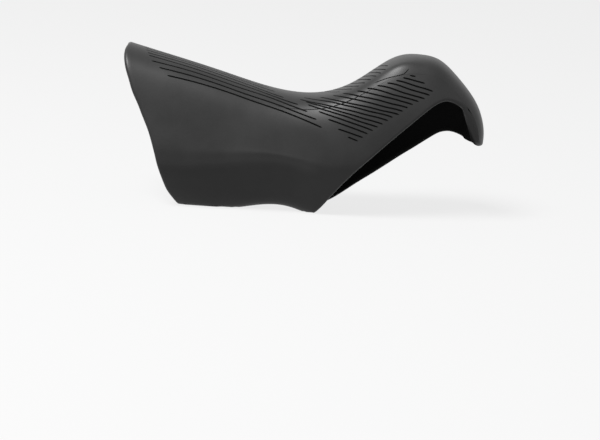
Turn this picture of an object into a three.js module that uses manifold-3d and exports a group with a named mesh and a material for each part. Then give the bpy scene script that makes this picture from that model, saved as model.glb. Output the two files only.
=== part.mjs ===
import * as THREE from 'three';
import { mergeVertices } from 'three/addons/utils/BufferGeometryUtils.js';
import Module from 'manifold-3d';

// Rubber hood of a bicycle brake lever, outer side towards -Y, horn towards +X, standing on its underside.
// Lengths are in millimetres. The origin is below the middle of the hood, on the surface that it stands on.

const hoodLength = 120;
const hoodHeight = 53.7;
const hoodWidth = 35.5;
const wallThickness = 2;
const hornWallExtra = 0.9;
const grooveWidth = 0.62;
const grooveDepth = 0.6;
const grooveLift = 1.1;
const restLevel = 1.4;
const rubberColour = '#3b3b3c';

// The tables below are the hood's shape as drawn. Its skin is stretched to the sizes above,
// and the wall and the grooves keep their own sizes.
const stretch = new THREE.Vector3(1, 1, 1);

// Cross sections from the rear to the tip of the horn: x and z of the top line and of the bottom line,
// then the half width and the drop from the top line of the crown, shoulder, flank and belly,
// then the half width and the rise from the bottom line of the underside and of the keel.
const sections = [
  [-6.0, 54.8, 14.0, 1.8, 6.0, 1.3, 11.0, 5.6, 14.2, 15.0, 17.2, 31.0, 16.8, 13.5, 9.5, 0.35],
  [7.5, 51.5, 23.0, 1.2, 6.1, 1.3, 11.1, 5.6, 14.4, 14.5, 17.2, 28.5, 16.8, 14.0, 9.5, 0.35],
  [20.0, 48.5, 32.0, 1.0, 6.3, 1.3, 11.3, 5.6, 14.5, 14.0, 17.1, 26.0, 16.6, 14.8, 9.5, 0.35],
  [33.0, 45.2, 41.0, 2.0, 6.5, 1.3, 11.5, 5.6, 14.5, 13.0, 16.8, 22.5, 16.2, 15.0, 9.3, 0.35],
  [45.5, 41.9, 49.5, 3.5, 6.8, 1.3, 11.6, 5.4, 14.5, 12.0, 16.4, 19.0, 15.7, 14.6, 9.0, 0.4],
  [57.0, 39.9, 58.0, 3.4, 7.0, 1.1, 11.6, 5.0, 14.3, 11.0, 15.9, 17.8, 15.2, 14.2, 8.8, 0.4],
  [67.0, 40.3, 66.5, 1.2, 7.4, 0.9, 11.6, 4.8, 14.2, 11.5, 15.6, 19.5, 14.8, 14.0, 8.8, 0.4],
  [76.0, 43.7, 74.5, 2.0, 8.0, 0.9, 11.8, 5.0, 14.3, 12.5, 15.5, 22.5, 14.4, 13.0, 8.8, 0.9],
  [84.0, 49.5, 82.5, 6.0, 8.5, 1.1, 12.2, 5.6, 14.4, 13.5, 15.4, 25.0, 13.9, 11.5, 8.4, 1.8],
  [91.5, 54.1, 90.0, 11.0, 8.6, 1.2, 12.2, 6.0, 14.2, 13.5, 15.1, 25.0, 13.4, 10.0, 8.2, 1.8],
  [98.5, 55.1, 97.5, 15.5, 7.8, 1.3, 11.6, 6.0, 13.7, 12.8, 14.5, 23.0, 12.7, 8.0, 8.0, 1.8],
  [104.7, 53.9, 103.5, 18.5, 7.0, 1.4, 10.8, 5.8, 13.0, 11.8, 13.8, 21.0, 12.1, 6.5, 7.8, 1.8],
  [110.4, 49.4, 107.5, 20.5, 6.3, 1.4, 10.0, 5.4, 12.2, 10.2, 13.0, 17.5, 11.6, 5.0, 7.6, 1.6],
  [115.5, 43.9, 110.0, 21.5, 5.8, 1.3, 9.3, 4.8, 11.3, 8.4, 12.1, 13.2, 11.0, 4.0, 7.4, 1.4],
  [118.9, 38.7, 111.5, 22.0, 5.4, 1.2, 8.7, 4.2, 10.6, 7.0, 11.4, 10.2, 10.4, 3.4, 7.2, 1.2],
  [120.8, 33.1, 112.5, 22.0, 5.1, 1.1, 8.2, 3.6, 10.0, 5.8, 10.7, 8.2, 9.8, 2.8, 7.0, 1.0],
  [121.1, 27.5, 113.0, 21.5, 4.8, 1.0, 7.7, 3.1, 9.3, 4.9, 10.0, 6.5, 9.2, 2.3, 6.8, 0.9],
  [119.9, 21.4, 113.5, 20.5, 4.5, 0.9, 7.2, 2.6, 8.7, 4.2, 9.2, 5.3, 8.6, 1.8, 6.4, 0.8],
];

// Soft ridges that sharpen the turn along the belly and along the top edge of the ramp, on both sides:
// place round the section, height, half width in the same measure, then the sections that it runs between.
const ridges = [
  { v: 5, height: 0.55, width: 0.26, from: -1, to: 6.6 },
  { v: 1.08, height: 0.3, width: 0.3, from: 7.6, to: 10.2 },
];
const ridgeFade = 1.2;

// Rim of the rear mouth seen from the side, as z then x.
const rearRim = [
  [54.8, 5.9], [53.3, 3.1], [52.5, 1.7], [51.4, 1.35], [49.8, 1.45], [46.5, 2.2], [42.9, 3.5],
  [39.2, 4.9], [35.6, 6.8], [31.8, 8.6], [28.1, 10.4], [24.3, 11.9], [20.5, 13.1], [16.6, 14.2],
  [12.7, 15.4], [8.6, 16.9], [6.2, 18.0], [3.9, 19.5], [2.4, 20.5], [1.0, 21.3], [-1.0, 21.5],
];

// Rims of the lever opening seen from the side, as x then z: the outer wall's, then the inner wall's,
// which lies lower. Between them the rim passes across the middle over a width of twice openingBlend.
const openingCentre = new THREE.Vector2(111.4, 15.4);
const openingBlend = 9;
const outerRim = [
  [60.0, -5.0], [67.2, 1.8], [73.2, 9.8], [79.8, 17.6], [86.2, 24.3], [92.5, 30.5], [98.0, 35.8],
  [101.7, 39.3], [104.8, 41.6], [108.2, 42.5], [111.6, 41.4], [114.4, 39.3], [116.3, 36.0],
  [117.4, 32.6], [118.4, 29.4], [119.6, 27.6], [121.4, 26.6], [124.0, 26.2], [130.0, 25.8],
];
const innerRim = [
  [60.0, -5.0], [67.4, 0.9], [71.5, 2.8], [76.5, 5.9], [81.7, 9.7], [86.9, 13.3], [94.6, 18.8],
  [99.8, 22.3], [104.9, 26.0], [107.4, 27.6], [110.1, 28.3], [112.8, 28.0], [115.5, 27.0],
  [118.0, 26.2], [121.0, 25.9], [124.0, 25.8], [130.0, 25.8],
];

// Grooves as points on the skin: section number, then place round the section, which runs from 0 on
// the top line down the outer side to 7 on the bottom line, and is negative on the inner side.
const rampGrooves = [
  [9.47, 1.81, 9.74, 1.88],
  [9.17, 1.89, 9.68, 2.09, 10.22, 2.23],
  [8.87, 1.94, 9.7, 2.35, 10.69, 2.59],
  [8.48, 1.86, 9.44, 2.49, 10.54, 2.79],
  [8.06, 1.7, 9.14, 2.58, 10.3, 2.95],
  [7.64, 1.49, 8.8, 2.59, 10.01, 3.05],
  [7.25, 1.26, 7.84, 1.97, 8.45, 2.52, 9.1, 2.9, 9.74, 3.13],
  [6.71, 0.85, 7.34, 1.7, 8.03, 2.38, 8.75, 2.9, 9.53, 3.21],
  [6.35, 0.74, 7.0, 1.56, 7.75, 2.34, 8.5, 2.91, 9.32, 3.28],
  [5.9, 0.68, 6.62, 1.48, 7.42, 2.26, 8.3, 2.93, 9.16, 3.34],
  [5.37, 0.72, 6.13, 1.21, 6.95, 1.98, 7.87, 2.77, 8.9, 3.35],
  [5.24, 0.95, 5.99, 1.41, 6.8, 2.07, 7.72, 2.81, 8.71, 3.38],
  [5.43, 1.14, 6.1, 1.64, 6.82, 2.26, 7.61, 2.88, 8.5, 3.4],
  [5.51, 1.38, 6.11, 1.84, 6.76, 2.36, 7.49, 2.93, 8.29, 3.4],
  [5.89, 1.87, 6.53, 2.37, 7.25, 2.9, 8.09, 3.42],
  [6.25, 2.37, 7.03, 2.91, 7.88, 3.43],
  [6.65, 2.88, 7.13, 3.15, 7.69, 3.46],
  [7.07, 3.25, 7.49, 3.49],
];
const crownGrooves = [
  [8.47, 0.6, 8.22, 0.0, 8.06, -0.65, 8.12, -1.3, 8.5, -2.0, 9.5, -2.6],
  [8.4, 0.95, 8.05, 0.2, 7.84, -0.65, 7.9, -1.3, 8.3, -2.05, 9.5, -2.85],
  [8.2, 1.0, 7.85, 0.2, 7.64, -0.65, 7.7, -1.3, 8.1, -2.1, 9.4, -3.0],
  [8.0, 1.0, 7.64, 0.2, 7.42, -0.65, 7.48, -1.3, 7.9, -2.15, 9.2, -3.1],
  [7.78, 1.0, 7.42, 0.2, 7.2, -0.65, 7.26, -1.3, 7.7, -2.2, 9.0, -3.18],
  [7.55, 0.95, 7.18, 0.2, 6.95, -0.65, 7.02, -1.3, 7.5, -2.25, 8.8, -3.24],
  [7.3, 0.88, 6.92, 0.15, 6.68, -0.65, 6.76, -1.3, 7.3, -2.3, 8.6, -3.28],
  [7.05, 0.8, 6.62, 0.1, 6.34, -0.65, 6.45, -1.3, 7.1, -2.35, 8.4, -3.3],
  [6.6, 0.5, 6.25, 0.0, 6.02, -0.65, 6.15, -1.3, 6.9, -2.4, 8.2, -3.32],
];
const rearGrooves = [
  [1.55, 2.01, 2.6, 1.84, 3.63, 1.81, 4.76, 1.99, 6.05, 2.71],
  [1.35, 1.71, 2.4, 1.55, 3.45, 1.53, 4.58, 1.64, 5.84, 2.31],
  [1.16, 1.42, 2.19, 1.25, 3.23, 1.24, 4.34, 1.26, 5.51, 1.84],
  [1.1, 1.04, 2.1, 0.94, 3.05, 0.94, 4.08, 0.97, 5.19, 1.4],
  [1.07, 0.8, 2.04, 0.65, 2.93, 0.66, 3.83, 0.7, 4.74, 1.0],
  [1.02, 0.5, 1.94, 0.38, 2.79, 0.38, 3.63, 0.38, 4.47, 0.55],
  [0.98, 0.18, 1.9, 0.13, 2.7, 0.13, 3.5, 0.13, 4.3, 0.18],
];

// Numbers of rows along the skin and across each rim, and of columns round the hood.
const outerRows = 32;
const innerRows = 20;
const rimRows = 4;
const evenColumns = 42;
const extraColumns = [1.66, 1.73, -4.31];

const lastSection = sections.length - 1;
const around = 14;

// Moves control points until the cubic B-spline through them meets the given points.
function splineControls(points, closed) {
  const count = points.length;
  let controls = points.map((point) => point.clone());
  for (let pass = 0; pass < 40; pass += 1) {
    controls = controls.map((control, i) => {
      const first = controls[0].clone().multiplyScalar(2).sub(controls[1]);
      const last = controls[count - 1].clone().multiplyScalar(2).sub(controls[count - 2]);
      const before = i > 0 ? controls[i - 1] : closed ? controls[count - 1] : first;
      const after = i < count - 1 ? controls[i + 1] : closed ? controls[0] : last;
      const met = control.clone().multiplyScalar(4).add(before).add(after).divideScalar(6);
      return control.clone().add(points[i]).sub(met);
    });
  }
  return controls;
}

function splineWeights(t) {
  const s = 1 - t;
  const weights = [s ** 3, 3 * t ** 3 - 6 * t ** 2 + 4, 3 * s ** 3 - 6 * s ** 2 + 4, t ** 3];
  return weights.map((weight) => weight / 6);
}

// A smooth line through side-view points, sampled finely.
function sideLine(pairs) {
  const controls = splineControls(pairs.map(([a, b]) => new THREE.Vector2(a, b)), false);
  const last = controls.length - 1;
  controls.unshift(controls[0].clone().multiplyScalar(2).sub(controls[1]));
  controls.push(controls[last + 1].clone().multiplyScalar(2).sub(controls[last]));
  const samples = [];
  for (let k = 0; k <= last * 12; k += 1) {
    const cell = Math.min(Math.floor(k / 12), last - 1);
    const weights = splineWeights(k / 12 - cell);
    const point = new THREE.Vector2();
    weights.forEach((weight, a) => point.addScaledVector(controls[cell + a], weight));
    samples.push(point);
  }
  return samples;
}

// Reads y at x from samples sorted by x.
function readLine(samples, x) {
  if (x <= samples[0].x) {
    return samples[0].y;
  }
  for (let i = 1; i < samples.length; i += 1) {
    if (x <= samples[i].x) {
      const share = (x - samples[i - 1].x) / Math.max(samples[i].x - samples[i - 1].x, 1e-9);
      return samples[i - 1].y + share * (samples[i].y - samples[i - 1].y);
    }
  }
  return samples[samples.length - 1].y;
}

// Control points of the skin, one closed ring of points for each section.
const rings = sections.map((row) => {
  const top = new THREE.Vector3(row[0], 0, row[1]);
  const bottom = new THREE.Vector3(row[2], 0, row[3]);
  const height = top.distanceTo(bottom);
  const down = bottom.clone().sub(top).divideScalar(height);
  const sides = [
    [0, 0],
    [row[4], row[5]],
    [row[6], row[7]],
    [row[8], row[9]],
    [row[10], row[11]],
    [row[12], height - row[13]],
    [row[14], height - row[15]],
    [0, height],
  ];
  const place = ([half, drop], side) => {
    const point = top.clone().addScaledVector(down, drop);
    point.y = side * half;
    return point;
  };
  const outer = sides.map((pair) => place(pair, -1));
  const inner = sides.slice(1, -1).map((pair) => place(pair, 1)).reverse();
  return splineControls([...outer, ...inner], true);
});
const net = rings.map(() => []);
for (let j = 0; j < around; j += 1) {
  splineControls(rings.map((ring) => ring[j]), false).forEach((control, i) => net[i].push(control));
}
net.unshift(net[0].map((control, j) => control.clone().multiplyScalar(2).sub(net[1][j])));
net.push(net.at(-1).map((control, j) => control.clone().multiplyScalar(2).sub(net.at(-2)[j])));

// A point on the smooth skin as drawn, at section number u and place v round it.
function smoothSkin(u, v) {
  const i = Math.min(Math.max(Math.floor(u), 0), lastSection - 1);
  const j = Math.floor(v);
  const along = splineWeights(u - i);
  const across = splineWeights(v - j);
  const point = new THREE.Vector3();
  for (let a = 0; a < 4; a += 1) {
    for (let b = 0; b < 4; b += 1) {
      const column = (((j + b - 1) % around) + around) % around;
      point.addScaledVector(net[i + a][column], along[a] * across[b]);
    }
  }
  return point;
}

function normalOf(surface, u, v) {
  const along = surface(u + 0.001, v).sub(surface(u - 0.001, v));
  const across = surface(u, v + 0.001).sub(surface(u, v - 0.001));
  return across.cross(along).normalize();
}

function ridgeHeight(u, v) {
  const wrapped = ((v % around) + around) % around;
  const side = Math.min(wrapped, around - wrapped);
  return ridges.reduce((total, { v: place, height, width, from, to }) => {
    const rise = THREE.MathUtils.smoothstep(u, from, from + ridgeFade);
    const fall = THREE.MathUtils.smoothstep(to - u, 0, ridgeFade);
    return total + height * rise * fall * Math.exp(-(((side - place) / width) ** 2));
  }, 0);
}

function drawnSkin(u, v) {
  return smoothSkin(u, v).addScaledVector(normalOf(smoothSkin, u, v), ridgeHeight(u, v));
}

function skin(u, v) {
  return drawnSkin(u, v).multiply(stretch);
}

function skinNormal(u, v) {
  return normalOf(skin, u, v);
}

const rearLine = sideLine(rearRim).sort((a, b) => a.x - b.x);

function polarLine(pairs) {
  const samples = sideLine(pairs).map((point) => {
    const arm = point.clone().sub(openingCentre);
    return new THREE.Vector2(openingAngle(arm), arm.length());
  });
  return samples.sort((a, b) => a.x - b.x);
}

function openingAngle(arm) {
  const angle = Math.atan2(arm.y, arm.x);
  return angle < -Math.PI / 4 ? angle + 2 * Math.PI : angle;
}

const outerOpening = polarLine(outerRim);
const innerOpening = polarLine(innerRim);

// How far a point lies in front of the rear rim, and how far outside the lever opening.
// Both leave room for the rounding of the rims.
function pastRear(point) {
  return point.x - readLine(rearLine, point.z) - wallThickness / 2;
}

function outsideOpening(point) {
  const arm = new THREE.Vector2(point.x, point.z).sub(openingCentre);
  const angle = openingAngle(arm);
  const share = THREE.MathUtils.smoothstep(point.y, -openingBlend, openingBlend);
  const radius = THREE.MathUtils.lerp(readLine(outerOpening, angle), readLine(innerOpening, angle), share);
  return arm.length() - radius - wallThickness / 2;
}

// The first section number past `from` at which the test changes sign, found to a thousandth.
function crossing(test, from, v) {
  const step = 0.05;
  const start = test(drawnSkin(from, v)) > 0;
  for (let u = from; u < lastSection; u += step) {
    if (test(drawnSkin(u + step, v)) > 0 !== start) {
      let low = u;
      let high = u + step;
      while (high - low > 0.0005) {
        const middle = (low + high) / 2;
        if (test(drawnSkin(middle, v)) > 0 === start) {
          low = middle;
        } else {
          high = middle;
        }
      }
      return (low + high) / 2;
    }
  }
  return lastSection;
}

// Places of the columns round the hood, closer together where the horn's rim turns.
const places = [
  ...Array.from({ length: evenColumns }, (_, k) => (k / evenColumns) * around),
  ...extraColumns.map((v) => (v + around) % around),
].sort((a, b) => a - b);
const columns = places.length;
const starts = places.map((v) => crossing(pastRear, 0, v));
const ends = places.map((v) => crossing(outsideOpening, 5, v));

function edgeDirection(list, k) {
  const after = (k + 1) % columns;
  const before = (k + columns - 1) % columns;
  return skin(list[after], places[after]).sub(skin(list[before], places[before])).normalize();
}

// Rows of the shell in order: outer skin, front rim, inner skin, rear rim.
const rows = [];
for (let i = 0; i <= outerRows; i += 1) {
  rows.push({ share: i / outerRows, depth: 0, bulge: 0 });
}
for (let i = 1; i < rimRows; i += 1) {
  const turn = (Math.PI * i) / rimRows;
  rows.push({ share: 1, depth: (1 - Math.cos(turn)) / 2, bulge: Math.sin(turn) });
}
for (let i = 0; i <= innerRows; i += 1) {
  rows.push({ share: 1 - i / innerRows, depth: 1, bulge: 0 });
}
for (let i = 1; i < rimRows; i += 1) {
  const turn = (Math.PI * i) / rimRows;
  rows.push({ share: 0, depth: (1 + Math.cos(turn)) / 2, bulge: -Math.sin(turn) });
}

function shellGeometry() {
  const positions = [];
  rows.forEach(({ share, depth, bulge }) => {
    places.forEach((v, k) => {
      const u = THREE.MathUtils.lerp(starts[k], ends[k], share);
      const point = skin(u, v);
      const normal = skinNormal(u, v);
      const wall = wallThickness + hornWallExtra * THREE.MathUtils.smoothstep(u, 13, 15.5);
      if (bulge !== 0) {
        const edge = edgeDirection(bulge > 0 ? ends : starts, k);
        const outwards = edge.cross(normal).normalize();
        point.addScaledVector(outwards, -bulge * (wallThickness / 2));
      }
      point.addScaledVector(normal, -depth * wall);
      if (depth < 0.5) {
        point.z = Math.max(point.z, restLevel * stretch.z);
      }
      positions.push(point.x, point.y, point.z);
    });
  });
  const index = [];
  for (let i = 0; i < rows.length; i += 1) {
    for (let k = 0; k < columns; k += 1) {
      const a = i * columns + k;
      const b = i * columns + ((k + 1) % columns);
      const c = ((i + 1) % rows.length) * columns + k;
      const d = ((i + 1) % rows.length) * columns + ((k + 1) % columns);
      index.push(a, b, d, a, d, c);
    }
  }
  const geometry = new THREE.BufferGeometry();
  geometry.setAttribute('position', new THREE.Float32BufferAttribute(positions, 3));
  geometry.setIndex(index);
  return geometry;
}

// The drawn shell's size sets the stretch.
const drawnShell = shellGeometry();
drawnShell.computeBoundingBox();
const drawnSize = drawnShell.boundingBox.getSize(new THREE.Vector3());
stretch.set(hoodLength / drawnSize.x, hoodWidth / drawnSize.y, hoodHeight / drawnSize.z);

// A V-shaped cutter that follows a groove's path over the skin.
function grooveGeometry(numbers) {
  const pairs = [];
  for (let i = 0; i < numbers.length; i += 2) {
    pairs.push(new THREE.Vector2(numbers[i], numbers[i + 1]));
  }
  const path = new THREE.SplineCurve(pairs);
  const spread = skin(pairs[0].x, pairs[0].y).distanceTo(skin(pairs.at(-1).x, pairs.at(-1).y));
  const looks = path.getPoints(8).map(({ x, y }) => skinNormal(x, y));
  const turning = looks.slice(1).reduce((sum, look, i) => sum + look.angleTo(looks[i]), 0);
  const steps = Math.max(2, Math.round(spread / 9), Math.ceil(turning / 0.2));
  const topHalf = (grooveWidth / 2) * (1 + grooveLift / grooveDepth);
  const positions = [];
  for (let i = 0; i <= steps; i += 1) {
    const { x: u, y: v } = path.getPoint(i / steps);
    const ahead = path.getPoint(Math.min(1, i / steps + 0.01));
    const behind = path.getPoint(Math.max(0, i / steps - 0.01));
    const normal = skinNormal(u, v);
    const tangent = skin(ahead.x, ahead.y).sub(skin(behind.x, behind.y)).normalize();
    const sideways = tangent.clone().cross(normal).normalize();
    const centre = skin(u, v);
    [-1, 1, 0].forEach((side) => {
      const corner = centre.clone().addScaledVector(sideways, side * topHalf);
      corner.addScaledVector(normal, side === 0 ? -grooveDepth : grooveLift);
      positions.push(corner.x, corner.y, corner.z);
    });
  }
  const index = [0, 2, 1];
  for (let i = 0; i < steps; i += 1) {
    for (let side = 0; side < 3; side += 1) {
      const a = i * 3 + side;
      const b = i * 3 + ((side + 1) % 3);
      index.push(a, b, a + 3, b, b + 3, a + 3);
    }
  }
  index.push(steps * 3, steps * 3 + 1, steps * 3 + 2);
  const geometry = new THREE.BufferGeometry();
  geometry.setAttribute('position', new THREE.Float32BufferAttribute(positions, 3));
  geometry.setIndex(index);
  return geometry;
}

const wasm = await Module();
wasm.setup();

function solid(geometry) {
  const merged = mergeVertices(geometry, 1e-4);
  return new wasm.Manifold(
    new wasm.Mesh({
      numProp: 3,
      vertProperties: new Float32Array(merged.attributes.position.array),
      triVerts: new Uint32Array(merged.index.array),
    }),
  );
}

const mirroredRear = rearGrooves.map((numbers) => numbers.map((value, i) => (i % 2 ? -value : value)));
const grooves = [...rampGrooves, ...crownGrooves, ...rearGrooves, ...mirroredRear];
let hoodSolid = solid(shellGeometry());
grooves.forEach((numbers) => {
  hoodSolid = hoodSolid.subtract(solid(grooveGeometry(numbers)));
});

const result = hoodSolid.getMesh();
const hoodGeometry = new THREE.BufferGeometry();
hoodGeometry.setAttribute('position', new THREE.Float32BufferAttribute(result.vertProperties, 3));
hoodGeometry.setIndex(new THREE.Uint32BufferAttribute(result.triVerts, 1));
hoodGeometry.computeBoundingBox();
const box = hoodGeometry.boundingBox;
hoodGeometry.translate(-(box.min.x + box.max.x) / 2, -(box.min.y + box.max.y) / 2, -box.min.z);
hoodGeometry.computeVertexNormals();

const rubber = new THREE.MeshStandardMaterial({ color: rubberColour, roughness: 0.62, metalness: 0 });
const hood = new THREE.Mesh(hoodGeometry, rubber);
hood.name = 'hood';

const brakeLeverHood = new THREE.Group();
brakeLeverHood.name = 'brake_lever_hood';
brakeLeverHood.add(hood);

export default brakeLeverHood;
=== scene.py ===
from math import cos, pi, radians, sin
import bmesh
import bpy
import numpy as np
from mathutils import Matrix, Vector
from mathutils.bvhtree import BVHTree


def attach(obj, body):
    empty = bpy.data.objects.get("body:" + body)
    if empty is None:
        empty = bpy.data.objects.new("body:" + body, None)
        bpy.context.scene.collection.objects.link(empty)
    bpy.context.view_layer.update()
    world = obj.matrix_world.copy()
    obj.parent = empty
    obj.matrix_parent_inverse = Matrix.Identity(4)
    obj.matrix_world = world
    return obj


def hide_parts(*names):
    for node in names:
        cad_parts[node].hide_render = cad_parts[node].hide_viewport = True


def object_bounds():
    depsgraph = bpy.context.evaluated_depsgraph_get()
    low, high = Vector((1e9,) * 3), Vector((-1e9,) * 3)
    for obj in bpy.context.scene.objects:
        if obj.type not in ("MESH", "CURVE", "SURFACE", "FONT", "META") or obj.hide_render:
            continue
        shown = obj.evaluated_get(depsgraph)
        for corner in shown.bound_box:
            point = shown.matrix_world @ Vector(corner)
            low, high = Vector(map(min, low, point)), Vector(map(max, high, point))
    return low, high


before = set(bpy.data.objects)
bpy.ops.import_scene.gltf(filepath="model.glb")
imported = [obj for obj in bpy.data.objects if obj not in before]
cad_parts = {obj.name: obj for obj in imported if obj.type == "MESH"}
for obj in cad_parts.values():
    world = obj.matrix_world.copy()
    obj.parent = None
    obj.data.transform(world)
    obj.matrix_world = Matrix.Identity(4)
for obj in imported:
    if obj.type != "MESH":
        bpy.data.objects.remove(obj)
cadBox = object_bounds()
boxLow, boxHigh = np.array(cadBox[0]), np.array(cadBox[1])
scene = bpy.context.scene
mm = 0.001

# camera: a long lens level with the horn, a little above the hood and rolled with the photograph
view = {"distance": 0.8, "tilt": 12.5, "roll": 4.0, "width": 0.201, "lookAt": (0.00116, 0.0, -0.00459)}


def addCamera(v):
    tilt, roll = radians(v["tilt"]), radians(v["roll"])
    level, rise = Vector((1, 0, 0)), Vector((0, sin(tilt), cos(tilt)))
    ahead = Vector((0, cos(tilt), -sin(tilt)))
    right = level * cos(roll) + rise * sin(roll)
    up = rise * cos(roll) - level * sin(roll)
    place = Vector(v["lookAt"]) - ahead * v["distance"]
    data = bpy.data.cameras.new("camera")
    data.sensor_width = 36.0
    data.lens = 36.0 * v["distance"] / v["width"]
    data.clip_start, data.clip_end = 0.01, 20.0
    camera = bpy.data.objects.new("camera", data)
    turn = Matrix((right, up, -ahead)).transposed().to_4x4()
    camera.matrix_world = Matrix.Translation(place) @ turn
    scene.collection.objects.link(camera)
    scene.camera = camera


addCamera(view)
print("camera set")


# shader maths: a socket that adds, multiplies and compares like a number
class Value:
    def __init__(self, tree, socket):
        self.tree, self.socket = tree, socket

    def math(self, operation, *others, clamp=False):
        node = self.tree.nodes.new("ShaderNodeMath")
        node.operation, node.use_clamp = operation, clamp
        for slot, item in zip(node.inputs, (self, *others)):
            feed(self.tree, slot, item)
        return Value(self.tree, node.outputs[0])

    def __add__(self, other):
        return self.math("ADD", other)

    def __radd__(self, other):
        return self.math("ADD", other)

    def __sub__(self, other):
        return self.math("SUBTRACT", other)

    def __mul__(self, other):
        return self.math("MULTIPLY", other)

    def clamp(self):
        return self.math("ADD", 0.0, clamp=True)

    # 0 below low, 1 above high, smooth between them
    def step(self, low, high):
        return Shade.make(self.tree, "ShaderNodeMapRange", {"interpolation_type": "SMOOTHSTEP"},
                          {"Value": self, "From Min": low, "From Max": high})["Result"]


# a node's plain number output
def factor(outputs):
    return outputs["Factor" if "Factor" in outputs else "Fac"]


def feed(tree, slot, item):
    if isinstance(item, Value):
        tree.links.new(item.socket, slot)
    else:
        slot.default_value = item


class Shade:
    def __init__(self, tree):
        self.tree = tree
        tree.nodes.clear()

    @staticmethod
    def make(tree, kind, settings=None, values=None):
        node = tree.nodes.new(kind)
        for key, value in (settings or {}).items():
            setattr(node, key, value)
        for key, value in (values or {}).items():
            feed(tree, node.inputs[key], value)
        return {out.name: Value(tree, out) for out in node.outputs if out.enabled}

    def node(self, kind, settings=None, values=None):
        return Shade.make(self.tree, kind, settings, values)

    # a number stored on the mesh's points
    def mark(self, name):
        return factor(self.node("ShaderNodeAttribute", {"attribute_name": name}))

    # 1 for what the camera sees, straight or in a gloss or through glass, and 0 for the light on things
    def seen(self):
        rays = self.node("ShaderNodeLightPath")
        return (rays["Is Camera Ray"] + rays["Is Glossy Ray"] + rays["Is Transmission Ray"]).clamp()

    def blend(self, factor, first, second):
        node = self.tree.nodes.new("ShaderNodeMix")
        node.data_type = "RGBA"
        for slot, item in zip((node.inputs[0], node.inputs[6], node.inputs[7]), (factor, first, second)):
            feed(self.tree, slot, item)
        return Value(self.tree, node.outputs[2])


def material(name):
    made = bpy.data.materials.new(name)
    made.use_nodes = True
    return made, Shade(made.node_tree)


def grey(level):
    return (level, level, level, 1.0)


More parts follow.
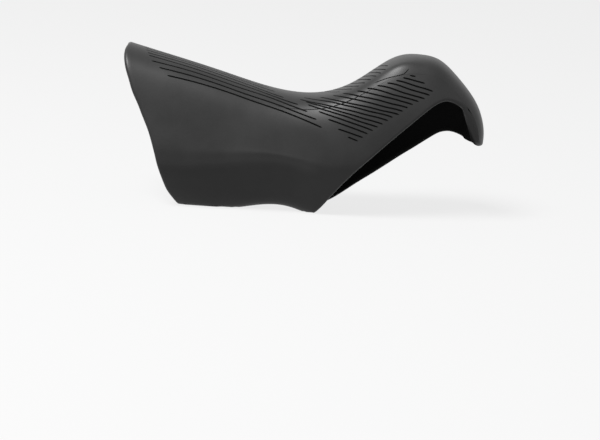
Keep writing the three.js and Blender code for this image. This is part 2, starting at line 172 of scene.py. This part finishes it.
# hood: the skin is a grid of cubic B-splines through the sections, in millimetres from the rear lip.
# A section is the top line's x and z, the bottom line's x and z, four pairs of half width and distance
# down, then two pairs of half width and height above the bottom. Grooves are places on the skin:
# section, then place round it, 0 on the top line and 7 on the bottom line, negative on the inner side.
hood = {
    "origin": (61.17, 0.0, 1.4), "restLevel": 1.4,
    "wall": 2.0, "hornWall": 0.9, "hornFrom": 13.0, "hornTo": 15.5,
    "grooveWidth": 0.56, "grooveDepth": 0.58, "grooveLift": 0.35, "grooveFlare": 1.25,
    "grooveShoulder": (0.72, 0.62), "grooveTaper": 0.8, "grooveTip": 0.12, "grooveStep": 0.9,
    # insideFrom is the depth in millimetres behind the outer skin where the painted shade of the inside
    # begins
    "crownScale": 0.8, "notchScale": 0.5, "ridgeFade": 1.2, "sharpAngle": 38.0, "insideFrom": 1.0,
    "columns": 200, "columnTries": 561, "columnCrowding": 0.5, "columnSoftness": 9,
    "outerRows": 150, "innerRows": 46, "rimRows": 8,
    "openingCentre": (111.4, 15.4), "openingBlend": 9.0, "openingFrom": 5.0,
    "sections": [
        (-6.0, 54.8, 14.0, 1.8, 6.0, 1.3, 11.0, 5.6, 14.2, 15.0, 17.2, 31.0, 16.8, 13.5, 9.5, 0.35),
        (7.5, 51.5, 23.0, 1.2, 6.1, 1.3, 11.1, 5.6, 14.4, 14.5, 17.2, 28.5, 16.8, 14.0, 9.5, 0.35),
        (20.0, 48.5, 32.0, 1.0, 6.3, 1.3, 11.3, 5.6, 14.5, 14.0, 17.1, 26.0, 16.6, 14.8, 9.5, 0.35),
        (33.0, 45.2, 41.0, 2.0, 6.5, 1.3, 11.5, 5.6, 14.5, 13.0, 16.8, 22.5, 16.2, 15.0, 9.3, 0.35),
        (45.5, 41.9, 49.5, 3.5, 6.8, 1.3, 11.6, 5.4, 14.5, 12.0, 16.4, 19.0, 15.7, 14.6, 9.0, 0.4),
        (57.0, 39.9, 58.0, 3.4, 7.0, 1.1, 11.6, 5.0, 14.3, 11.0, 15.9, 17.8, 15.2, 14.2, 8.8, 0.4),
        (67.0, 40.3, 66.5, 1.2, 7.4, 0.9, 11.6, 4.8, 14.2, 11.5, 15.6, 19.5, 14.8, 14.0, 8.8, 0.4),
        (76.0, 43.7, 74.5, 2.0, 8.0, 0.9, 11.8, 5.0, 14.3, 12.5, 15.5, 22.5, 14.4, 13.0, 8.8, 0.9),
        (84.0, 49.5, 82.5, 6.0, 8.5, 1.1, 12.2, 5.6, 14.4, 13.5, 15.4, 25.0, 13.9, 11.5, 8.4, 1.8),
        (91.5, 54.1, 90.0, 11.0, 8.6, 1.2, 12.2, 6.0, 14.2, 13.5, 15.1, 25.0, 13.4, 10.0, 8.2, 1.8),
        (98.5, 55.1, 97.5, 15.5, 7.8, 1.3, 11.6, 6.0, 13.7, 12.8, 14.5, 23.0, 12.7, 8.0, 8.0, 1.8),
        (104.7, 53.9, 103.5, 18.5, 7.0, 1.4, 10.8, 5.8, 13.0, 11.8, 13.8, 21.0, 12.1, 6.5, 7.8, 1.8),
        (110.4, 49.4, 107.5, 20.5, 6.3, 1.4, 10.0, 5.4, 12.2, 10.2, 13.0, 17.5, 11.6, 5.0, 7.6, 1.6),
        (115.5, 43.9, 110.0, 21.5, 5.8, 1.3, 9.3, 4.8, 11.3, 8.4, 12.1, 13.2, 11.0, 4.0, 7.4, 1.4),
        (118.9, 38.7, 111.5, 22.0, 5.4, 1.2, 8.7, 4.2, 10.6, 7.0, 11.4, 10.2, 10.4, 3.4, 7.2, 1.2),
        (120.8, 33.1, 112.5, 22.0, 5.1, 1.1, 8.2, 3.6, 10.0, 5.8, 10.7, 8.2, 9.8, 2.8, 7.0, 1.0),
        (121.1, 27.5, 113.0, 21.5, 4.8, 1.0, 7.7, 3.1, 9.3, 4.9, 10.0, 6.5, 9.2, 2.3, 6.8, 0.9),
        (119.9, 21.4, 113.5, 20.5, 4.5, 0.9, 7.2, 2.6, 8.7, 4.2, 9.2, 5.3, 8.6, 1.8, 6.4, 0.8),
    ],
    "ridges": [
        {"v": 5.0, "height": 0.55, "width": 0.26, "from": -1.0, "to": 6.6},
        {"v": 1.08, "height": 0.3, "width": 0.3, "from": 7.6, "to": 10.2},
    ],
    "rearRim": [
        (54.8, 5.9), (53.3, 3.1), (52.5, 1.7), (51.4, 1.35), (49.8, 1.45), (46.5, 2.2), (42.9, 3.5),
        (39.2, 4.9), (35.6, 6.8), (31.8, 8.6), (28.1, 10.4), (24.3, 11.9), (20.5, 13.1), (16.6, 14.2),
        (12.7, 15.4), (8.6, 16.9), (6.2, 18.0), (3.9, 19.5), (2.4, 20.5), (1.0, 21.3), (-1.0, 21.5),
    ],
    "outerRim": [
        (60.0, -5.0), (67.2, 1.8), (73.2, 9.8), (79.8, 17.6), (86.2, 24.3), (92.5, 30.5), (98.0, 35.8),
        (101.7, 39.3), (104.8, 41.6), (108.2, 42.5), (111.6, 41.4), (114.4, 39.3), (116.3, 36.0),
        (117.4, 32.6), (118.4, 29.4), (119.6, 27.6), (121.4, 26.6), (124.0, 26.2), (130.0, 25.8),
    ],
    "innerRim": [
        (60.0, -5.0), (67.4, 0.9), (71.5, 2.8), (76.5, 5.9), (81.7, 9.7), (86.9, 13.3), (94.6, 18.8),
        (99.8, 22.3), (104.9, 26.0), (107.4, 27.6), (110.1, 28.3), (112.8, 28.0), (115.5, 27.0),
        (118.0, 26.2), (121.0, 25.9), (124.0, 25.8), (130.0, 25.8),
    ],
    "rampGrooves": [
        (9.47, 1.81, 9.74, 1.88),
        (9.17, 1.89, 9.68, 2.09, 10.22, 2.23),
        (8.87, 1.94, 9.7, 2.35, 10.69, 2.59),
        (8.48, 1.86, 9.44, 2.49, 10.54, 2.79),
        (8.06, 1.7, 9.14, 2.58, 10.3, 2.95),
        (7.64, 1.49, 8.8, 2.59, 10.01, 3.05),
        (7.25, 1.26, 7.84, 1.97, 8.45, 2.52, 9.1, 2.9, 9.74, 3.13),
        (6.71, 0.85, 7.34, 1.7, 8.03, 2.38, 8.75, 2.9, 9.53, 3.21),
        (6.35, 0.74, 7.0, 1.56, 7.75, 2.34, 8.5, 2.91, 9.32, 3.28),
        (5.9, 0.68, 6.62, 1.48, 7.42, 2.26, 8.3, 2.93, 9.16, 3.34),
        (5.37, 0.72, 6.13, 1.21, 6.95, 1.98, 7.87, 2.77, 8.9, 3.35),
        (5.24, 0.95, 5.99, 1.41, 6.8, 2.07, 7.72, 2.81, 8.71, 3.38),
        (5.43, 1.14, 6.1, 1.64, 6.82, 2.26, 7.61, 2.88, 8.5, 3.4),
        (5.51, 1.38, 6.11, 1.84, 6.76, 2.36, 7.49, 2.93, 8.29, 3.4),
        (5.89, 1.87, 6.53, 2.37, 7.25, 2.9, 8.09, 3.42),
        (6.25, 2.37, 7.03, 2.91, 7.88, 3.43),
        (6.65, 2.88, 7.13, 3.15, 7.69, 3.46),
        (7.07, 3.25, 7.49, 3.49),
    ],
    "crownGrooves": [
        (8.47, 0.6, 8.22, 0.0, 8.06, -0.65, 8.12, -1.3, 8.5, -2.0, 9.5, -2.6),
        (8.4, 0.95, 8.05, 0.2, 7.84, -0.65, 7.9, -1.3, 8.3, -2.05, 9.5, -2.85),
        (8.2, 1.0, 7.85, 0.2, 7.64, -0.65, 7.7, -1.3, 8.1, -2.1, 9.4, -3.0),
        (8.0, 1.0, 7.64, 0.2, 7.42, -0.65, 7.48, -1.3, 7.9, -2.15, 9.2, -3.1),
        (7.78, 1.0, 7.42, 0.2, 7.2, -0.65, 7.26, -1.3, 7.7, -2.2, 9.0, -3.18),
        (7.55, 0.95, 7.18, 0.2, 6.95, -0.65, 7.02, -1.3, 7.5, -2.25, 8.8, -3.24),
        (7.3, 0.88, 6.92, 0.15, 6.68, -0.65, 6.76, -1.3, 7.3, -2.3, 8.6, -3.28),
        (7.05, 0.8, 6.62, 0.1, 6.34, -0.65, 6.45, -1.3, 7.1, -2.35, 8.4, -3.3),
        (6.6, 0.5, 6.25, 0.0, 6.02, -0.65, 6.15, -1.3, 6.9, -2.4, 8.2, -3.32),
    ],
    "notch": (7.95, 1.43, 8.3, 1.54, 8.75, 1.66, 9.1, 1.7, 9.26, 1.62, 9.4, 1.42),
    "rearGrooves": [
        (1.55, 2.01, 2.6, 1.84, 3.63, 1.81, 4.76, 1.99, 6.05, 2.71),
        (1.35, 1.71, 2.4, 1.55, 3.45, 1.53, 4.58, 1.64, 5.84, 2.31),
        (1.16, 1.42, 2.19, 1.25, 3.23, 1.24, 4.34, 1.26, 5.51, 1.84),
        (1.1, 1.04, 2.1, 0.94, 3.05, 0.94, 4.08, 0.97, 5.19, 1.4),
        (1.07, 0.8, 2.04, 0.65, 2.93, 0.66, 3.83, 0.7, 4.74, 1.0),
        (1.02, 0.5, 1.94, 0.38, 2.79, 0.38, 3.63, 0.38, 4.47, 0.55),
        (0.98, 0.18, 1.9, 0.13, 2.7, 0.13, 3.5, 0.13, 4.3, 0.18),
    ],
}
lastSection = len(hood["sections"]) - 1
around = 14  # places round a section


# 0 below low, 1 above high, smooth between them
def ease(value, low, high):
    share = np.clip((value - low) / (high - low), 0, 1)
    return share * share * (3 - 2 * share)


def extend(rows):
    return np.concatenate([2 * rows[:1] - rows[1:2], rows, 2 * rows[-1:] - rows[-2:-1]])


# control points whose cubic B-spline passes through the given points
def splineControls(points, axis=0, closed=False):
    wanted = np.moveaxis(np.array(points, float), axis, 0)
    controls = wanted.copy()
    for _ in range(40):
        if closed:
            before, after = np.roll(controls, 1, 0), np.roll(controls, -1, 0)
        else:
            longer = extend(controls)
            before, after = longer[:-2], longer[2:]
        controls = controls + wanted - (before + 4 * controls + after) / 6
    return np.moveaxis(controls, 0, axis)


def splineWeights(t):
    s = 1 - t
    return np.stack([s**3, 3 * t**3 - 6 * t**2 + 4, 3 * s**3 - 6 * s**2 + 4, t**3]) / 6


def sideLine(pairs, per=40):
    controls = extend(splineControls(pairs))
    t = np.linspace(0, len(pairs) - 1, (len(pairs) - 1) * per + 1)
    cell = np.minimum(t.astype(int), len(pairs) - 2)
    weights = splineWeights(t - cell)
    return sum(weights[a][:, None] * controls[cell + a] for a in range(4))


def ringPoints(row):
    top, bottom = np.array([row[0], 0, row[1]]), np.array([row[2], 0, row[3]])
    height = np.linalg.norm(bottom - top)
    down = (bottom - top) / height
    sides = [(0, 0), (row[4], row[5]), (row[6], row[7]), (row[8], row[9]), (row[10], row[11]),
             (row[12], height - row[13]), (row[14], height - row[15]), (0, height)]
    near = [top + down * drop + np.array([0, -half, 0]) for half, drop in sides]
    far = [top + down * drop + np.array([0, half, 0]) for half, drop in sides[1:-1]][::-1]
    return near + far


rings = np.array([ringPoints(row) for row in hood["sections"]])
net = extend(splineControls(splineControls(rings, 1, True)))


def smoothSkin(u, v):
    u, v = np.broadcast_arrays(np.asarray(u, float), np.asarray(v, float))
    i = np.clip(np.floor(u).astype(int), 0, lastSection - 1)
    j = np.floor(v).astype(int)
    along, across = splineWeights(u - i), splineWeights(v - j)
    points = np.zeros(u.shape + (3,))
    for a in range(4):
        for b in range(4):
            points += (along[a] * across[b])[..., None] * net[i + a, (j + b - 1) % around]
    return points


def normalOf(surface, u, v, step=1e-3):
    along = surface(u + step, v) - surface(u - step, v)
    across = surface(u, v + step) - surface(u, v - step)
    normals = np.cross(across, along)
    return normals / np.linalg.norm(normals, axis=-1, keepdims=True)


# soft ridges that sharpen the turn along the belly and along the top edge of the ramp
def ridgeHeight(u, v):
    side = np.abs((v + around / 2) % around - around / 2)
    total = np.zeros(np.broadcast(u, v).shape)
    for ridge in hood["ridges"]:
        begins = np.clip((u - ridge["from"]) / hood["ridgeFade"], 0, 1)
        stops = np.clip((ridge["to"] - u) / hood["ridgeFade"], 0, 1)
        bell = np.exp(-((side - ridge["v"]) / ridge["width"]) ** 2)
        total += ridge["height"] * ease(begins * stops, 0, 1) * bell
    return total


def skin(u, v):
    return smoothSkin(u, v) + normalOf(smoothSkin, u, v) * ridgeHeight(u, v)[..., None]


def skinNormal(u, v):
    return normalOf(skin, u, v)


def openingAngle(arms):
    angles = np.arctan2(arms[..., 1], arms[..., 0])
    return np.where(angles < -pi / 4, angles + 2 * pi, angles)


def polarLine(pairs):
    arms = sideLine(pairs) - np.array(hood["openingCentre"])
    angles = openingAngle(arms)
    order = np.argsort(angles)
    return angles[order], np.hypot(arms[:, 0], arms[:, 1])[order]


rearLine = sideLine(hood["rearRim"])  # rims seen from the side; the rear one is z, then x
rearLine = rearLine[np.argsort(rearLine[:, 0])]
outerOpening, innerOpening = polarLine(hood["outerRim"]), polarLine(hood["innerRim"])


# how far points lie in front of the rear rim and outside the opening, with room for the rims' rounding
def pastRear(points):
    return points[..., 0] - np.interp(points[..., 2], rearLine[:, 0], rearLine[:, 1]) - hood["wall"] / 2


def outsideOpening(points):
    arms = points[..., [0, 2]] - np.array(hood["openingCentre"])
    angles = openingAngle(arms)
    share = ease(points[..., 1], -hood["openingBlend"], hood["openingBlend"])
    radius = np.interp(angles, *outerOpening) * (1 - share) + np.interp(angles, *innerOpening) * share
    return np.hypot(arms[..., 0], arms[..., 1]) - radius - hood["wall"] / 2


# the first section number from start on where each line along the hood crosses a rim
def crossings(test, start, places, count=1500):
    steps = np.linspace(start, lastSection, count)
    found = []
    for place in places:
        values = test(skin(steps, np.full_like(steps, place)))
        k = np.nonzero((values[:-1] > 0) != (values[1:] > 0))[0]
        if len(k) == 0:
            found.append(lastSection)
            continue
        k = k[0]
        found.append(steps[k] + (steps[1] - steps[0]) * values[k] / (values[k] - values[k + 1]))
    return np.array(found)


# columns crowd where the front rim turns away from them
def columnPlaces(count):
    v = np.linspace(0, around, hood["columnTries"])
    turn = np.abs(np.gradient(crossings(outsideOpening, hood["openingFrom"], v, 300), v))
    window = np.hanning(hood["columnSoftness"])
    half = hood["columnSoftness"] // 2
    longer = np.concatenate([turn[-half - 1:-1], turn, turn[1:half + 1]])
    density = 1 + hood["columnCrowding"] * np.convolve(longer, window / window.sum(), "valid")
    total = np.concatenate([[0], np.cumsum((density[1:] + density[:-1]) / 2)])
    return np.interp(np.linspace(0, total[-1], count, endpoint=False), total, v)


def meshObject(name, points, faces):
    mesh = bpy.data.meshes.new(name)
    mesh.from_pydata([tuple(p) for p in points], [], faces)
    mesh.update()
    made = bpy.data.objects.new(name, mesh)
    scene.collection.objects.link(made)
    return made


def toFrame(points):
    return (np.asarray(points) - np.array(hood["origin"])) * mm


# rows run over the outer skin, round the front rim, back along the inside and round the rear rim
def hoodShell():
    places = columnPlaces(hood["columns"])
    count = len(places)
    starts, ends = crossings(pastRear, 0, places), crossings(outsideOpening, hood["openingFrom"], places)
    rim = np.arange(1, hood["rimRows"]) * pi / hood["rimRows"]
    rows = [(s, 0, 0) for s in np.linspace(0, 1, hood["outerRows"] + 1)]
    rows += [(1, (1 - cos(t)) / 2, sin(t)) for t in rim]
    rows += [(1 - s, 1, 0) for s in np.linspace(0, 1, hood["innerRows"] + 1)]
    rows += [(0, (1 + cos(t)) / 2, -sin(t)) for t in rim]

    def outwards(edges, normals):
        points = skin(edges, places)
        along = np.roll(points, -1, 0) - np.roll(points, 1, 0)
        along /= np.linalg.norm(along, axis=-1, keepdims=True)
        away = np.cross(along, normals)
        return away / np.linalg.norm(away, axis=-1, keepdims=True)

    grid = []
    for share, depth, bulge in rows:
        u = starts + (ends - starts) * share
        points, normals = skin(u, places), skinNormal(u, places)
        wall = hood["wall"] + hood["hornWall"] * ease(u, hood["hornFrom"], hood["hornTo"])
        if bulge:
            points = points - outwards(ends if bulge > 0 else starts, normals) * bulge * hood["wall"] / 2
        grid.append(points - normals * (depth * wall)[:, None])
    points = np.concatenate(grid)
    outerCount = (hood["outerRows"] + 1 + hood["rimRows"] // 2) * count
    points[:outerCount, 2] = np.maximum(points[:outerCount, 2], hood["restLevel"])
    points = toFrame(points)
    faces = []
    for i in range(len(rows)):
        below = (i + 1) % len(rows)
        for k in range(count):
            right = (k + 1) % count
            faces.append((i * count + k, i * count + right, below * count + right, below * count + k))
    return meshObject("hoodSkin", np.clip(points, boxLow, boxHigh), faces)


# a Catmull-Rom curve through a groove's places
def pathPoints(numbers, count):
    nodes = np.array(numbers, float).reshape(-1, 2)
    longer = np.concatenate([nodes[:1], nodes, nodes[-1:]])
    t = np.linspace(0, len(nodes) - 1, count)
    cell = np.minimum(t.astype(int), len(nodes) - 2)
    f = (t - cell)[:, None]
    p0, p1, p2, p3 = (longer[cell + a] for a in range(4))
    return 0.5 * (2 * p1 + (p2 - p0) * f + (2 * p0 - 5 * p1 + 4 * p2 - p3) * f**2
                  + (3 * p1 - p0 - 3 * p2 + p3) * f**3)


# every groove is cut by a tube with a rounded bottom and tapering ends that follows the skin
def grooveCutters(paths):
    lift, flare, taperLength = hood["grooveLift"], hood["grooveFlare"], hood["grooveTaper"]
    across, down = hood["grooveShoulder"]
    points, faces = [], []
    for numbers, scale in paths:
        half, depth = scale * hood["grooveWidth"] / 2, scale * hood["grooveDepth"]
        profile = [(-flare * half, lift), (-half, 0), (-across * half, -down * depth), (0, -depth),
                   (across * half, -down * depth), (half, 0), (flare * half, lift)]
        ends = skin(np.array([numbers[0], numbers[-2]]), np.array([numbers[1], numbers[-1]]))
        length = np.linalg.norm(ends[1] - ends[0])
        count = int(max(8, length / hood["grooveStep"], len(numbers) * 3))
        uv = pathPoints(numbers, count)
        centre, normal = skin(uv[:, 0], uv[:, 1]), skinNormal(uv[:, 0], uv[:, 1])
        tangent = np.gradient(centre, axis=0)
        tangent /= np.linalg.norm(tangent, axis=-1, keepdims=True)
        side = np.cross(tangent, normal)
        side /= np.linalg.norm(side, axis=-1, keepdims=True)
        walked = np.concatenate([[0], np.cumsum(np.linalg.norm(np.diff(centre, axis=0), axis=1))])
        taper = np.clip(np.minimum(walked, walked[-1] - walked) / taperLength, 0, 1)
        size = np.sqrt(hood["grooveTip"] + (1 - hood["grooveTip"]) * taper * (2 - taper))
        first = len(points)
        for c, n, s, k in zip(centre, normal, side, size):
            points += [c + s * (x * k) + n * (y * k if y < 0 else y) for x, y in profile]
        width = len(profile)
        for i in range(count - 1):
            for j in range(width):
                a, b = first + i * width + j, first + i * width + (j + 1) % width
                faces.append((a, b, b + width, a + width))
        faces.append(tuple(first + j for j in reversed(range(width))))
        faces.append(tuple(first + (count - 1) * width + j for j in range(width)))
    return meshObject("grooveCutters", toFrame(points), faces)


def outwardFaces(piece):
    shape = bmesh.new()
    shape.from_mesh(piece.data)
    bmesh.ops.recalc_face_normals(shape, faces=shape.faces)
    shape.to_mesh(piece.data)
    shape.free()


mirrored = [tuple(-n if i % 2 else n for i, n in enumerate(path)) for path in hood["rearGrooves"]]
paths = [(path, 1.0) for path in hood["rampGrooves"] + hood["rearGrooves"] + mirrored]
paths += [(path, hood["crownScale"]) for path in hood["crownGrooves"]]
paths += [(hood["notch"], hood["notchScale"])]
shell = hoodShell()
outwardFaces(shell)
plain = BVHTree.FromObject(shell, bpy.context.evaluated_depsgraph_get())
outerFaces = [tuple(face.vertices) for face in shell.data.polygons[:hood["columns"] * hood["outerRows"]]]
outerSkin = BVHTree.FromPolygons([vertex.co for vertex in shell.data.vertices], outerFaces)
cutters = grooveCutters(paths)
outwardFaces(cutters)
print("shell and cutters made", len(shell.data.polygons), len(cutters.data.polygons))

cut = shell.modifiers.new("grooves", "BOOLEAN")
cut.operation, cut.object, cut.solver = "DIFFERENCE", cutters, "MANIFOLD"
bpy.context.view_layer.update()
evaluated = shell.evaluated_get(bpy.context.evaluated_depsgraph_get())
hoodMesh = bpy.data.meshes.new_from_object(evaluated)
hoodMesh.name = "hoodSkin"
shell.modifiers.clear()
shell.data = hoodMesh
bpy.data.objects.remove(cutters)
for face in hoodMesh.polygons:
    face.use_smooth = True
hoodMesh.set_sharp_from_angle(angle=radians(hood["sharpAngle"]))
print("grooves cut", len(hoodMesh.polygons))

# how deep each point lies in a groove, and how far behind the outer skin, both from 0 to 1; the rubber uses
# them to paint shade into the grooves and onto the inside
depthMark = hoodMesh.attributes.new("grooveShade", "FLOAT", "POINT")
insideMark = hoodMesh.attributes.new("insideShade", "FLOAT", "POINT")
for index, vertex in enumerate(hoodMesh.vertices):
    away = plain.find_nearest(vertex.co)[3]
    behind = outerSkin.find_nearest(vertex.co)[3]
    depthMark.data[index].value = min(1.0, away / (hood["grooveDepth"] * mm))
    insideMark.data[index].value = min(1.0, max(0.0, behind / mm - hood["insideFrom"]))

# rubber: matte dark grey with a fine moulded grain and faint mottling, duller in the grooves and on the
# inside,
# with painted shade there: a darker colour in the grooves and a darker, less glossy surface on the inside
rubberLook = {
    # the groove and inside colours are painted shade, darker than the rubber where less light reaches
    "dark": grey(0.01), "light": grey(0.0155), "groove": grey(0.0065), "paintedInsideShade": grey(0.008),
    "roughness": 0.44, "mottleRoughness": 0.12, "grainRoughness": 0.08, "grooveRoughness": 0.2,
    "specular": 0.27, "insideRoughness": 0.85, "insideSpecular": 0.05, "refraction": 1.5,
    "grain": 1900.0, "pebble": 3400.0, "mottle": 90.0, "mottleShare": 0.7, "grainShare": 0.3,
    "bumpStrength": 0.25, "bumpDepth": 0.00006,
}


def rubber(look):
    made, shade = material("rubber")
    place = shade.node("ShaderNodeTexCoord")["Object"]
    mottle = shade.node("ShaderNodeTexNoise", None, {"Vector": place, "Scale": look["mottle"], "Detail": 4.0})
    grain = shade.node("ShaderNodeTexNoise", None, {"Vector": place, "Scale": look["grain"], "Detail": 3.0})
    pebble = shade.node("ShaderNodeTexVoronoi", {"feature": "SMOOTH_F1"},
                        {"Vector": place, "Scale": look["pebble"], "Smoothness": 0.6})
    spread, fine = factor(mottle), factor(grain)
    # mask for the painted shade in the grooves
    grooveShadeMask = shade.mark("grooveShade").step(0.1, 0.75)
    # mask for the painted shade on the inside
    paintedInsideShade = shade.mark("insideShade").step(0.0, 0.9)
    tone = spread.step(0.3, 0.7) * look["mottleShare"] + fine.step(0.25, 0.75) * look["grainShare"]
    tone = tone.clamp()
    colour = shade.blend(tone, look["dark"], look["light"])
    # painted shade: the grooves get a darker colour
    colour = shade.blend(grooveShadeMask, colour, look["groove"])
    roughness = look["roughness"] + (spread - 0.5) * look["mottleRoughness"]
    roughness = roughness + (fine - 0.5) * look["grainRoughness"] + grooveShadeMask * look["grooveRoughness"]
    height = fine * 0.5 + pebble["Distance"] * 0.5
    bump = shade.node("ShaderNodeBump", None, {
        "Strength": look["bumpStrength"], "Distance": look["bumpDepth"], "Height": height})
    common = {"Metallic": 0.0, "IOR": look["refraction"], "Normal": bump["Normal"]}
    surface = shade.node("ShaderNodeBsdfPrincipled", None, {
        **common, "Base Color": colour, "Roughness": roughness, "Specular IOR Level": look["specular"]})
    # painted shade: the inside gets a darker, rougher and less glossy surface
    insideShadeSurface = shade.node("ShaderNodeBsdfPrincipled", None, {
        **common, "Base Color": look["paintedInsideShade"], "Roughness": look["insideRoughness"],
        "Specular IOR Level": look["insideSpecular"]})
    both = shade.node("ShaderNodeMixShader", None, {0: paintedInsideShade, 1: surface["BSDF"], 2: insideShadeSurface["BSDF"]})
    shade.node("ShaderNodeOutputMaterial", None, {"Surface": both["Shader"]})
    return made


hoodMesh.materials.clear()
hoodMesh.materials.append(rubber(rubberLook))
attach(shell, "root")
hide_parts("hood")
print("hood finished")

# floor: pale and plain, lifted to white for the camera, with the hood's own shadow on it
floorLook = {"size": 6.0, "colour": grey(0.35), "lift": 0.8}


def floor(look):
    s = look["size"]
    plane = meshObject("floor", [(-s, -s, 0), (s, -s, 0), (s, s, 0), (-s, s, 0)], [(0, 1, 2, 3)])
    made, shade = material("floorPaper")
    paper = shade.node("ShaderNodeBsdfDiffuse", None, {"Color": look["colour"]})
    white = shade.node("ShaderNodeEmission", None, {"Color": grey(1.0), "Strength": 1.0})
    lifted = shade.seen() * look["lift"]
    both = shade.node("ShaderNodeMixShader", None, {0: lifted, 1: paper["BSDF"], 2: white["Emission"]})
    shade.node("ShaderNodeOutputMaterial", None, {"Surface": both["Shader"]})
    plane.data.materials.append(made)


floor(floorLook)

# light: one soft key from the upper left in front, and a white world that gives a weak even light
lights = {"place": (-0.36, -0.4, 0.84), "size": 0.4, "power": 20.0, "target": (0.0, 0.0, 0.03), "world": 0.22}


def addKey(look):
    data = bpy.data.lights.new("key", "AREA")
    data.shape, data.size, data.energy = "SQUARE", look["size"], look["power"]
    lamp = bpy.data.objects.new("key", data)
    lamp.location = look["place"]
    aim = Vector(look["target"]) - Vector(look["place"])
    lamp.rotation_euler = aim.to_track_quat("-Z", "Y").to_euler()
    scene.collection.objects.link(lamp)


def addWorld(strength):
    world = bpy.data.worlds.new("studio")
    world.use_nodes = True
    scene.world = world
    shade = Shade(world.node_tree)
    level = shade.seen() * (1 - strength) + strength
    sky = shade.node("ShaderNodeBackground", None, {"Color": grey(1.0), "Strength": level})
    shade.node("ShaderNodeOutputWorld", None, {"Surface": sky["Background"]})


addKey(lights)
addWorld(lights["world"])
scene.view_settings.view_transform = "Standard"
print("light set")
